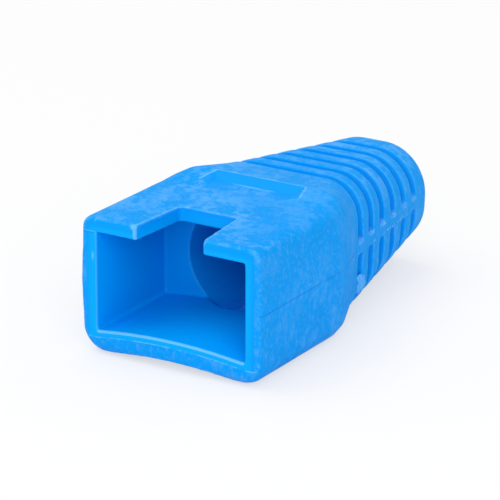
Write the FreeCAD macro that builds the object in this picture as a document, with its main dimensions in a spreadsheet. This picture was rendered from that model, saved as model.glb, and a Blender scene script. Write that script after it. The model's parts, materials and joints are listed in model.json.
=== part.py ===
import FreeCAD, Part
import math
import os

import Sketcher

Vec = FreeCAD.Vector

# Strain relief boot for an RJ45 plug: one soft moulded sleeve.
# The mouth that takes the plug faces -Y, the cable leaves at the tail end, +Y.
# The moulding is designed about its parting plane: design Z = 0 is the parting
# plane, design Y = 0 the mouth. The body's Placement then sets it down on Z = 0
# with its length centred on Y = 0.

doc = FreeCAD.newDocument("Boot")

# ---------------------------------------------------------------- sizes (mm)

sheet = doc.addObject("Spreadsheet::Sheet", "Sizes")

SIZES = [
    # whole boot
    ("overall_length", 28.3, "mouth face to tail end face"),
    # plug cavity
    ("cavity_width", 12.0, "clear width for the plug"),
    ("cavity_height", 7.2, "clear height at the side walls"),
    ("cavity_depth", 8.8, "mouth to the cavity's rear wall"),
    ("cavity_corner", 0.3, "radius along the cavity's long corners"),
    ("floor_arch", 0.42, "rise of the cavity floor at mid width"),
    # walls of the box
    ("top_wall", 1.1, "wall over the cavity"),
    ("bottom_wall", 1.75, "wall under the cavity at its corners"),
    ("side_wall", 1.34, "wall beside the cavity at the parting plane"),
    ("side_draft", 2.4, "draft of the sides from the parting plane, degrees"),
    ("under_arch", 0.6, "hollow of the underside at mid width"),
    ("mouth_top_corner", 0.8, "top corner radius at the mouth"),
    ("box_bottom_corner", 1.6, "bottom corner radius of the box"),
    ("rim_round", 0.35, "rounding of the mouth's outer edge, sides and top"),
    ("rim_round_under", 1.0, "rounding of the mouth's outer edge, underside"),
    ("rim_bevel", 0.14, "lead-in chamfer round the cavity's mouth"),
    # latch notch
    ("notch_front_width", 5.45, "latch notch at the mouth"),
    ("notch_back_width", 4.6, "latch notch at its blind end"),
    ("notch_length", 5.1, "mouth to the blind end of the notch"),
    ("notch_corner", 0.35, "corner radius in the blind end"),
    # crown over the shoulder, with the ramped recess behind the notch
    ("crown_start", 9.4, "mouth to where the top starts to rise"),
    ("crown_corner", 1.2, "top corner radius where the top starts to rise"),
    ("crest_rise", 0.47, "height of the crest over the box's top"),
    ("crest_corner", 2.1, "top corner radius at the crest"),
    ("ramp_foot", 11.05, "mouth to the foot of the ramp"),
    ("ramp_run", 0.9, "foot of the ramp to the crest"),
    ("recess_width", 6.2, "width of the recess floor in front of the ramp"),
    ("recess_side_run", 1.6, "run of the recess's sides for each unit of height"),
    # shoulder
    ("shoulder_start", 10.7, "mouth to where the sides turn in"),
    ("shoulder_end", 15.85, "mouth to where the shoulder meets the tail"),
    ("shoulder_half_width", 6.0, "half width at the shoulder's end"),
    ("shoulder_rise", 4.78, "parting plane to the top at the shoulder's end"),
    ("shoulder_drop", 5.33, "parting plane to underside at the shoulder's end"),
    ("shoulder_top_corner", 2.75, "top corner radius at the shoulder's end"),
    ("shoulder_bottom_corner", 2.7, "bottom corner radius at the shoulder's end"),
    # tail
    ("tail_half_width", 4.28, "half width of the end face"),
    ("tail_rise", 3.53, "parting plane to the top of the end face"),
    ("tail_drop", 3.87, "parting plane to the underside of the end face"),
    ("tail_top_corner", 3.45, "top corner radius of the end face"),
    ("tail_bottom_corner", 3.1, "bottom corner radius of the end face"),
    ("tail_end_round", 0.35, "rounding of the end face's edge"),
    # bending grooves
    ("groove_first", 15.75, "mouth to the middle of the first groove"),
    ("end_band", 2.45, "middle of the last groove to the end face"),
    ("groove_width", 0.85, "width of a groove"),
    ("groove_depth", 0.5, "depth of a groove"),
    ("spine_height", 1.1, "height of the side spines between the grooves"),
    # cable bore
    ("flare_length", 1.5, "forward reach of the bore's flare into the cavity"),
    ("flare_radius", 3.1, "bore where the flare starts"),
    ("bore_front_radius", 4.0, "bore where it leaves the cavity"),
    ("bore_tail_radius", 2.75, "bore for the cable"),
    ("bore_tail_length", 6.0, "straight length of the cable bore"),
]


def put_sizes():
    """Writes every size into the sheet, each cell with its own alias."""
    for row, (alias, value, note) in enumerate(SIZES, start=1):
        sheet.set("A%d" % row, note)
        sheet.set("B%d" % row, repr(value))
        sheet.setAlias("B%d" % row, alias)
    doc.recompute()


put_sizes()

GROOVES = 6

# Expressions used in several places.
HALF_CAVITY = "Sizes.cavity_height / 2"
BOX_HALF_WIDTH = "(Sizes.cavity_width / 2 + Sizes.side_wall)"
BOX_RISE = "(Sizes.cavity_height / 2 + Sizes.top_wall)"
BOX_DROP = "(Sizes.cavity_height / 2 + Sizes.bottom_wall)"
RAMP_TOP = "(Sizes.ramp_foot + Sizes.ramp_run)"
CREST = "(%s + Sizes.crest_rise)" % BOX_RISE
GROOVE_SPAN = "(Sizes.overall_length - Sizes.end_band - Sizes.groove_first)"


def along(start_value, end_value, start, end, place):
    """Expression of a straight change between two stations along the boot."""
    return "(%s + (%s - %s) * (%s - %s) / (%s - %s))" % (
        start_value,
        end_value,
        start_value,
        place,
        start,
        end,
        start,
    )


def eased(start_value, end_value, start, end, place):
    """Expression of a change that starts and ends softly between two stations."""
    part = "((%s - %s) / (%s - %s))" % (place, start, end, start)
    ease = "(%s * %s * (3 - 2 * %s))" % (part, part, part)
    return "(%s + (%s - %s) * %s)" % (start_value, end_value, start_value, ease)


body = doc.addObject("PartDesign::Body", "boot")
body.Label = "boot"


def origin_plane(role):
    """The body's own origin plane with this role."""
    for item in body.Origin.OriginFeatures:
        if getattr(item, "Role", "") == role:
            return item
    raise RuntimeError("no origin plane " + role)


def new_sketch(name, role, offset_expression=None):
    """A sketch on an origin plane, moved along the plane's normal."""
    sketch = body.newObject("Sketcher::SketchObject", name)
    sketch.AttachmentSupport = (origin_plane(role), [""])
    sketch.MapMode = "FlatFace"
    if offset_expression:
        sketch.setExpression("AttachmentOffset.Base.z", offset_expression)
    return sketch


def bind(sketch, index, name, expression):
    """Names a driving constraint and ties it to the sheet."""
    sketch.renameConstraint(index, name)
    sketch.setExpression("Constraints." + name, expression)


def number(expression):
    """Value of an expression of sheet aliases, for a sketch's first drawing."""
    return float(sheet.evalExpression(expression))


START, END, CENTRE = 1, 2, 3
H_AXIS, V_AXIS, ORIGIN_POINT = -1, -2, 1


# ------------------------------------------------------- outlines across the boot


def outline_sketch(name, station, half_width, rise, drop, top_corner, bottom_corner):
    """One outline of the moulding's outside, square to its length.

    Drafted sides meet on the parting plane; the four corners are rounded.
    All arguments are expressions of sizes.
    """
    sketch = new_sketch(name, "XZ_Plane", "-(%s)" % station)
    w = number(half_width)
    up = number(rise)
    down = number(drop)
    rt = number(top_corner)
    rb = number(bottom_corner)

    def line(x1, z1, x2, z2):
        return Part.LineSegment(Vec(x1, z1, 0), Vec(x2, z2, 0))

    def arc(x, z, radius, start, end):
        circle = Part.Circle(Vec(x, z, 0), Vec(0, 0, 1), radius)
        return Part.ArcOfCircle(circle, start, end)

    quarter = math.pi / 2
    bottom, br, right_low, right_up, tr, top, tl, left_up, left_low, bl = range(10)
    sketch.addGeometry(line(rb - w, -down, w - rb, -down))
    sketch.addGeometry(arc(w - rb, rb - down, rb, -quarter, 0))
    sketch.addGeometry(line(w, rb - down, w, 0))
    sketch.addGeometry(line(w, 0, w, up - rt))
    sketch.addGeometry(arc(w - rt, up - rt, rt, 0, quarter))
    sketch.addGeometry(line(w - rt, up, rt - w, up))
    sketch.addGeometry(arc(rt - w, up - rt, rt, quarter, 2 * quarter))
    sketch.addGeometry(line(-w, up - rt, -w, 0))
    sketch.addGeometry(line(-w, 0, -w, rb - down))
    sketch.addGeometry(arc(rb - w, rb - down, rb, 2 * quarter, 3 * quarter))

    def add(*arguments):
        return sketch.addConstraint(Sketcher.Constraint(*arguments))

    add("Tangent", bottom, END, br, START)
    add("Tangent", br, END, right_low, START)
    add("Coincident", right_low, END, right_up, START)
    add("Tangent", right_up, END, tr, START)
    add("Tangent", tr, END, top, START)
    add("Tangent", top, END, tl, START)
    add("Tangent", tl, END, left_up, START)
    add("Coincident", left_up, END, left_low, START)
    add("Tangent", left_low, END, bl, START)
    add("Tangent", bl, END, bottom, START)
    add("PointOnObject", right_up, START, H_AXIS)
    add("Symmetric", right_up, START, left_up, END, V_AXIS)
    add("Symmetric", bottom, START, bottom, END, V_AXIS)
    add("Symmetric", top, START, top, END, V_AXIS)
    add("Equal", tr, tl)
    add("Equal", br, bl)
    bind(sketch, add("Radius", tr, rt), "top_corner", top_corner)
    bind(sketch, add("Radius", br, rb), "bottom_corner", bottom_corner)
    width_at = add("DistanceX", H_AXIS, ORIGIN_POINT, right_up, START, w)
    bind(sketch, width_at, "half_width", half_width)
    rise_at = add("DistanceY", H_AXIS, ORIGIN_POINT, top, START, up)
    bind(sketch, rise_at, "rise", rise)
    drop_at = add("DistanceY", bottom, START, H_AXIS, ORIGIN_POINT, down)
    bind(sketch, drop_at, "drop", drop)
    straight = FreeCAD.Units.Quantity("90 deg")
    bind(sketch, add("Angle", right_up, straight), "draft_up", "90 + Sizes.side_draft")
    bind(sketch, add("Angle", right_low, straight), "draft_low", "90 - Sizes.side_draft")
    return sketch


def half_width_at(place):
    """Half width on the shoulder: eases from the box's to the tail's."""
    return eased(
        BOX_HALF_WIDTH,
        "Sizes.shoulder_half_width",
        "Sizes.shoulder_start",
        "Sizes.shoulder_end",
        place,
    )


def drop_at(place):
    """Depth below the parting plane on the shoulder."""
    return eased(
        BOX_DROP,
        "Sizes.shoulder_drop",
        "Sizes.shoulder_start",
        "Sizes.shoulder_end",
        place,
    )


def bottom_corner_at(place):
    """Bottom corner radius on the shoulder."""
    return eased(
        "Sizes.box_bottom_corner",
        "Sizes.shoulder_bottom_corner",
        "Sizes.shoulder_start",
        "Sizes.shoulder_end",
        place,
    )


def rise_at(place):
    """Height of the top behind the crest, down to the shoulder's end."""
    return along(CREST, "Sizes.shoulder_rise", RAMP_TOP, "Sizes.shoulder_end", place)


def top_corner_at(place):
    """Top corner radius behind the crest, down to the shoulder's end."""
    return along(
        "Sizes.crest_corner",
        "Sizes.shoulder_top_corner",
        RAMP_TOP,
        "Sizes.shoulder_end",
        place,
    )


def box_corner_at(place):
    """Top corner radius of the box, from the mouth to the crown's start."""
    return along(
        "Sizes.mouth_top_corner",
        "Sizes.crown_corner",
        "0",
        "Sizes.crown_start",
        place,
    )


def tail_outline(place):
    """The five sizes of the tail's outline, straight from the shoulder's end on."""
    pairs = (
        ("Sizes.shoulder_half_width", "Sizes.tail_half_width"),
        ("Sizes.shoulder_rise", "Sizes.tail_rise"),
        ("Sizes.shoulder_drop", "Sizes.tail_drop"),
        ("Sizes.shoulder_top_corner", "Sizes.tail_top_corner"),
        ("Sizes.shoulder_bottom_corner", "Sizes.tail_bottom_corner"),
    )
    ends = ("Sizes.shoulder_end", "Sizes.overall_length")
    return [along(first, last, ends[0], ends[1], place) for first, last in pairs]


def inset(radius, distance):
    """How far a rounded edge stands back at this distance from the end face."""
    curve = "(%s - sqrt(%s ^ 2 - (%s - %s) ^ 2))" % (radius, radius, radius, distance)
    return "(%s < %s ? %s : 0)" % (distance, radius, curve)


# The rounded rim is lofted in steps; each share is a part of the underside radius.
RIM_SHARES = (0.0, 0.04, 0.15, 0.42, 1.0)


def rim_outline(index, share):
    """Outline of the rounded rim at one step back from the mouth face."""
    station = "(Sizes.rim_round_under * %s)" % share
    back = inset("Sizes.rim_round", station)
    under_back = inset("Sizes.rim_round_under", station)
    return outline_sketch(
        "Rim%d" % index,
        station,
        "(%s - %s)" % (BOX_HALF_WIDTH, back),
        "(%s - %s)" % (BOX_RISE, back),
        "(%s - %s)" % (BOX_DROP, under_back),
        "(%s - %s)" % (box_corner_at(station), back),
        "(Sizes.box_bottom_corner - %s)" % back,
    )


rim_outlines = [rim_outline(index, share) for index, share in enumerate(RIM_SHARES)]
mouth_outline = rim_outlines[0]
outlines = rim_outlines[1:]
outlines.append(
    outline_sketch(
        "CrownStart",
        "Sizes.crown_start",
        BOX_HALF_WIDTH,
        BOX_RISE,
        BOX_DROP,
        "Sizes.crown_corner",
        "Sizes.box_bottom_corner",
    )
)
outlines.append(
    outline_sketch(
        "ShoulderStart",
        "Sizes.shoulder_start",
        BOX_HALF_WIDTH,
        eased(BOX_RISE, CREST, "Sizes.crown_start", RAMP_TOP, "Sizes.shoulder_start"),
        BOX_DROP,
        along(
            "Sizes.crown_corner",
            "Sizes.crest_corner",
            "Sizes.crown_start",
            RAMP_TOP,
            "Sizes.shoulder_start",
        ),
        "Sizes.box_bottom_corner",
    )
)
outlines.append(
    outline_sketch(
        "Crest",
        RAMP_TOP,
        half_width_at(RAMP_TOP),
        CREST,
        drop_at(RAMP_TOP),
        "Sizes.crest_corner",
        bottom_corner_at(RAMP_TOP),
    )
)
for number_on, share in enumerate((1 / 3, 2 / 3), start=1):
    station = "(%s + (Sizes.shoulder_end - %s) * %.6f)" % (RAMP_TOP, RAMP_TOP, share)
    outlines.append(
        outline_sketch(
            "Shoulder%d" % number_on,
            station,
            half_width_at(station),
            rise_at(station),
            drop_at(station),
            top_corner_at(station),
            bottom_corner_at(station),
        )
    )
outlines.append(
    outline_sketch(
        "ShoulderEnd",
        "Sizes.shoulder_end",
        "Sizes.shoulder_half_width",
        "Sizes.shoulder_rise",
        "Sizes.shoulder_drop",
        "Sizes.shoulder_top_corner",
        "Sizes.shoulder_bottom_corner",
    )
)


# The end face's edge is rounded in the same way, from the tail towards the face.
END_SHARES = (1.0, 0.5, 0.134, 0.0)


def end_outline(index, share):
    """Outline of the rounded tail end at one step before the end face."""
    distance = "(Sizes.tail_end_round * %s)" % share
    back = inset("Sizes.tail_end_round", distance)
    station = "(Sizes.overall_length - %s)" % distance
    half_width, rise, drop, top_corner, bottom_corner = tail_outline(station)
    return outline_sketch(
        "End%d" % index,
        station,
        "(%s - %s)" % (half_width, back),
        "(%s - %s)" % (rise, back),
        "(%s - %s)" % (drop, back),
        "(%s - %s)" % (top_corner, back),
        "(%s - %s)" % (bottom_corner, back),
    )


for index, share in enumerate(END_SHARES):
    outlines.append(end_outline(index, share))
doc.recompute()

outside = body.newObject("PartDesign::AdditiveLoft", "Outside")
outside.Profile = mouth_outline
outside.Sections = outlines
outside.Ruled = True
doc.recompute()


# ------------------------------------------------------- cavity, notch and bore


def taken(before, feature):
    """Volume that a cut takes from the feature before it."""
    if "Invalid" in feature.State or feature.Shape.isNull():
        return 0.0
    return before.Shape.Volume - feature.Shape.Volume


def check_cut(before, feature):
    """A cut that takes nothing away points the wrong way: it is turned round."""
    doc.recompute()
    if taken(before, feature) < 0.01:
        feature.Reversed = not feature.Reversed
        doc.recompute()
    if taken(before, feature) < 0.01:
        raise RuntimeError(feature.Name + " takes nothing away")


def arched(sketch, chord, rise, level, corner):
    """Adds a shallow arc with its ends at this level, centred on X = 0.

    The arc stops short of the chord's ends where corner arcs of the given radius
    touch it. Returns the arc's index and its half opening from the X axis.
    """
    span = number(chord)
    sagitta = number(rise)
    radius = (span * span / 4 + sagitta * sagitta) / (2 * sagitta)
    height = number(level) + sagitta - radius
    touch = math.acos((span / 2 - corner) / (radius + corner))
    circle = Part.Circle(Vec(0, height, 0), Vec(0, 0, 1), radius)
    sketch.addGeometry(Part.ArcOfCircle(circle, touch, math.pi - touch))
    index = sketch.GeometryCount - 1
    radius_text = "((%s)^2 / 4 + (%s)^2) / (2 * %s)" % (chord, rise, rise)
    sketch.addConstraint(Sketcher.Constraint("PointOnObject", index, CENTRE, V_AXIS))
    at = sketch.addConstraint(Sketcher.Constraint("Radius", index, radius))
    bind(sketch, at, "arch_radius", radius_text)
    at = sketch.addConstraint(
        Sketcher.Constraint("DistanceY", index, CENTRE, H_AXIS, ORIGIN_POINT, -height)
    )
    bind(sketch, at, "arch_centre", "(%s) - (%s) - (%s)" % (radius_text, level, rise))
    return index, touch, height + (radius + corner) * math.sin(touch)


def cavity_sketch():
    """Cross-section of the plug cavity: rounded corners over an arched floor."""
    sketch = new_sketch("CavityOutline", "XZ_Plane")
    half = number("Sizes.cavity_width / 2")
    up = number(HALF_CAVITY)
    r = number("Sizes.cavity_corner")

    def line(x1, z1, x2, z2):
        sketch.addGeometry(Part.LineSegment(Vec(x1, z1, 0), Vec(x2, z2, 0)))
        return sketch.GeometryCount - 1

    def arc(x, z, start, end):
        circle = Part.Circle(Vec(x, z, 0), Vec(0, 0, 1), r)
        sketch.addGeometry(Part.ArcOfCircle(circle, start, end))
        return sketch.GeometryCount - 1

    def add(*arguments):
        return sketch.addConstraint(Sketcher.Constraint(*arguments))

    floor, touch, low = arched(
        sketch, "Sizes.cavity_width", "Sizes.floor_arch", "-" + HALF_CAVITY, r
    )
    left = line(-half, low, -half, up - r)
    top = line(r - half, up, half - r, up)
    right = line(half, up - r, half, low)
    top_left = arc(r - half, up - r, math.pi / 2, math.pi)
    top_right = arc(half - r, up - r, 0, math.pi / 2)
    low_right = arc(half - r, low, math.pi + touch, 2 * math.pi)
    low_left = arc(r - half, low, math.pi, 2 * math.pi - touch)
    add("Tangent", left, END, top_left, END)
    add("Tangent", top_left, START, top, START)
    add("Tangent", top, END, top_right, END)
    add("Tangent", top_right, START, right, START)
    add("Tangent", right, END, low_right, END)
    add("Tangent", low_right, START, floor, START)
    add("Tangent", floor, END, low_left, END)
    add("Tangent", low_left, START, left, START)
    add("Symmetric", top, START, top, END, V_AXIS)
    add("Vertical", right)
    add("Vertical", left)
    add("Equal", top_left, top_right)
    add("Equal", top_right, low_right)
    add("Equal", low_right, low_left)
    bind(sketch, add("Radius", top_left, r), "corner", "Sizes.cavity_corner")
    width_at = add("DistanceX", H_AXIS, ORIGIN_POINT, right, START, half)
    bind(sketch, width_at, "half_width", "Sizes.cavity_width / 2")
    rise_at = add("DistanceY", H_AXIS, ORIGIN_POINT, top, START, up)
    bind(sketch, rise_at, "rise", HALF_CAVITY)
    return sketch


cavity = body.newObject("PartDesign::Pocket", "Cavity")
cavity.Profile = cavity_sketch()
cavity.Type = "Length"
cavity.setExpression("Length", "Sizes.cavity_depth")
check_cut(outside, cavity)


def mouth_edges(shape):
    """Names of the edges where the cavity meets the mouth face."""
    across = number("Sizes.cavity_width / 2") + 0.01
    height = number(HALF_CAVITY) + 0.01
    names = []
    for index, edge in enumerate(shape.Edges, start=1):
        box = edge.BoundBox
        within = max(-box.XMin, box.XMax) < across and max(-box.ZMin, box.ZMax) < height
        if box.YMax < 0.001 and within:
            names.append("Edge%d" % index)
    return names


lead_in = body.newObject("PartDesign::Chamfer", "LeadIn")
lead_in.Base = (cavity, mouth_edges(cavity.Shape))
lead_in.setExpression("Size", "Sizes.rim_bevel")
doc.recompute()


def notch_sketch():
    """Plan of the latch notch: it narrows towards its blind end."""
    sketch = new_sketch("NotchOutline", "XY_Plane")
    front = number("Sizes.notch_front_width / 2")
    back = number("Sizes.notch_back_width / 2")
    length = number("Sizes.notch_length")
    r = number("Sizes.notch_corner")
    quarter = math.pi / 2

    def line(x1, y1, x2, y2):
        sketch.addGeometry(Part.LineSegment(Vec(x1, y1, 0), Vec(x2, y2, 0)))
        return sketch.GeometryCount - 1

    def arc(x, y, start, end):
        circle = Part.Circle(Vec(x, y, 0), Vec(0, 0, 1), r)
        sketch.addGeometry(Part.ArcOfCircle(circle, start, end))
        return sketch.GeometryCount - 1

    def add(*arguments):
        return sketch.addConstraint(Sketcher.Constraint(*arguments))

    mouth = line(-front, 0, front, 0)
    right = line(front, 0, back, length - r)
    corner_right = arc(back - r, length - r, 0, quarter)
    blind = line(back - r, length, r - back, length)
    corner_left = arc(r - back, length - r, quarter, 2 * quarter)
    left = line(-back, length - r, -front, 0)
    add("Coincident", mouth, END, right, START)
    add("Tangent", right, END, corner_right, START)
    add("Tangent", corner_right, END, blind, START)
    add("Tangent", blind, END, corner_left, START)
    add("Tangent", corner_left, END, left, START)
    add("Coincident", left, END, mouth, START)
    add("PointOnObject", mouth, START, H_AXIS)
    add("Symmetric", mouth, START, mouth, END, V_AXIS)
    add("Symmetric", blind, START, blind, END, V_AXIS)
    add("Equal", corner_left, corner_right)
    bind(sketch, add("Radius", corner_left, r), "corner", "Sizes.notch_corner")
    front_at = add("DistanceX", mouth, START, mouth, END, 2 * front)
    bind(sketch, front_at, "front_width", "Sizes.notch_front_width")
    length_at = add("DistanceY", H_AXIS, ORIGIN_POINT, blind, START, length)
    bind(sketch, length_at, "length", "Sizes.notch_length")
    slope = FreeCAD.Units.Quantity("95 deg")
    slope_at = add("Angle", right, slope)
    taper = (
        "90 + atan((Sizes.notch_front_width - Sizes.notch_back_width)"
        " / 2 / Sizes.notch_length) / 1 deg"
    )
    bind(sketch, slope_at, "slope", taper)
    return sketch


notch = body.newObject("PartDesign::Pocket", "LatchNotch")
notch.Profile = notch_sketch()
notch.Type = "ThroughAll"
notch.Reversed = True
check_cut(lead_in, notch)
if notch.Shape.Solids[0].CenterOfMass.z > cavity.Shape.Solids[0].CenterOfMass.z:
    raise RuntimeError("the latch notch isn't in the top wall")


def bore_sketch():
    """Half profile of the cable bore, to be turned about the boot's axis."""
    sketch = new_sketch("BoreProfile", "YZ_Plane")
    depth = number("Sizes.cavity_depth")
    end = number("Sizes.overall_length")
    straight = end - number("Sizes.bore_tail_length")
    front = number("Sizes.bore_front_radius")
    tail = number("Sizes.bore_tail_radius")
    reach = number("Sizes.flare_length")
    flare = number("Sizes.flare_radius")
    corners = [
        Vec(depth - reach, 0, 0),
        Vec(depth - reach, flare, 0),
        Vec(depth, front, 0),
        Vec(straight, tail, 0),
        Vec(end, tail, 0),
        Vec(end, 0, 0),
    ]

    def add(*arguments):
        return sketch.addConstraint(Sketcher.Constraint(*arguments))

    start, lip, cone, hole, face, axis = range(6)
    for here, there in zip(corners, corners[1:] + corners[:1]):
        sketch.addGeometry(Part.LineSegment(here, there))
    for side in range(6):
        add("Coincident", side, END, (side + 1) % 6, START)
    add("Vertical", start)
    add("Vertical", face)
    add("Horizontal", hole)
    add("PointOnObject", start, START, H_AXIS)
    add("PointOnObject", face, END, H_AXIS)
    at = add("DistanceX", H_AXIS, ORIGIN_POINT, cone, START, depth)
    bind(sketch, at, "from_mouth", "Sizes.cavity_depth")
    at = add("DistanceX", lip, START, lip, END, reach)
    bind(sketch, at, "flare_length", "Sizes.flare_length")
    at = add("DistanceY", start, START, start, END, flare)
    bind(sketch, at, "flare_radius", "Sizes.flare_radius")
    at = add("DistanceY", H_AXIS, ORIGIN_POINT, cone, START, front)
    bind(sketch, at, "front_radius", "Sizes.bore_front_radius")
    at = add("DistanceY", face, END, face, START, tail)
    bind(sketch, at, "tail_radius", "Sizes.bore_tail_radius")
    at = add("DistanceX", hole, START, hole, END, end - straight)
    bind(sketch, at, "straight", "Sizes.bore_tail_length")
    at = add("DistanceX", H_AXIS, ORIGIN_POINT, hole, END, end)
    bind(sketch, at, "end", "Sizes.overall_length")
    return sketch


bore = body.newObject("PartDesign::Groove", "CableBore")
bore.Profile = bore_sketch()
bore.ReferenceAxis = (bore.Profile[0], ["H_Axis"])
bore.Angle = 360
check_cut(notch, bore)


def under_sketch():
    """Cross-section of the shallow hollow along the underside."""
    sketch = new_sketch("UnderArch", "XZ_Plane")
    chord = "(2 * (%s - Sizes.box_bottom_corner))" % BOX_HALF_WIDTH
    level = "-" + BOX_DROP
    arch, touch, low = arched(sketch, chord, "Sizes.under_arch", level, 0)
    half = number(chord) / 2
    low = -number(BOX_DROP)
    clear = 1.0

    def line(x1, z1, x2, z2):
        sketch.addGeometry(Part.LineSegment(Vec(x1, z1, 0), Vec(x2, z2, 0)))
        return sketch.GeometryCount - 1

    def add(*arguments):
        return sketch.addConstraint(Sketcher.Constraint(*arguments))

    left = line(-half, low, -half, low - clear)
    base = line(-half, low - clear, half, low - clear)
    right = line(half, low - clear, half, low)
    add("Coincident", left, END, base, START)
    add("Coincident", base, END, right, START)
    add("Coincident", right, END, arch, START)
    add("Coincident", left, START, arch, END)
    add("Vertical", left)
    add("Vertical", right)
    add("Symmetric", base, START, base, END, V_AXIS)
    bind(sketch, add("DistanceX", base, START, base, END, 2 * half), "chord", chord)
    base_at = add("DistanceY", base, START, H_AXIS, ORIGIN_POINT, clear - low)
    bind(sketch, base_at, "clear", "%s + 1" % BOX_DROP)
    return sketch


under = body.newObject("PartDesign::Pocket", "UnderHollow")
under.Profile = under_sketch()
under.Type = "Length"
under.setExpression("Length", "Sizes.overall_length")
check_cut(bore, under)


# The recess is a block with sloping sides; its back slope is the ramp. It is cut
# twice as high as the crest, so that its roof stays clear of the boot.
recess = body.newObject("PartDesign::SubtractiveWedge", "RampRecess")
recess.Placement = FreeCAD.Placement(Vec(0, 0, 0), FreeCAD.Rotation(Vec(1, 0, 0), 90))
FLOOR_HALF = "Sizes.recess_width / 2"
ROOF_HALF = "(%s + 2 * Sizes.crest_rise * Sizes.recess_side_run)" % FLOOR_HALF
ROOF_END = "(Sizes.ramp_foot + 2 * Sizes.ramp_run)"
recess.setExpression("Xmax", FLOOR_HALF)
recess.setExpression("Xmin", "-" + FLOOR_HALF)
recess.setExpression("X2max", ROOF_HALF)
recess.setExpression("X2min", "-" + ROOF_HALF)
recess.setExpression("Ymax", "%s + 2 * Sizes.crest_rise" % BOX_RISE)
recess.setExpression("Ymin", BOX_RISE)
recess.setExpression("Zmax", "-Sizes.crown_start")
recess.setExpression("Zmin", "-Sizes.ramp_foot")
recess.setExpression("Z2max", "-Sizes.crown_start")
recess.setExpression("Z2min", "-" + ROOF_END)
doc.recompute()
if taken(under, recess) < 0.01:
    raise RuntimeError("the ramped recess takes nothing away")


# -------------------------------------------------------------- bending grooves


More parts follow.
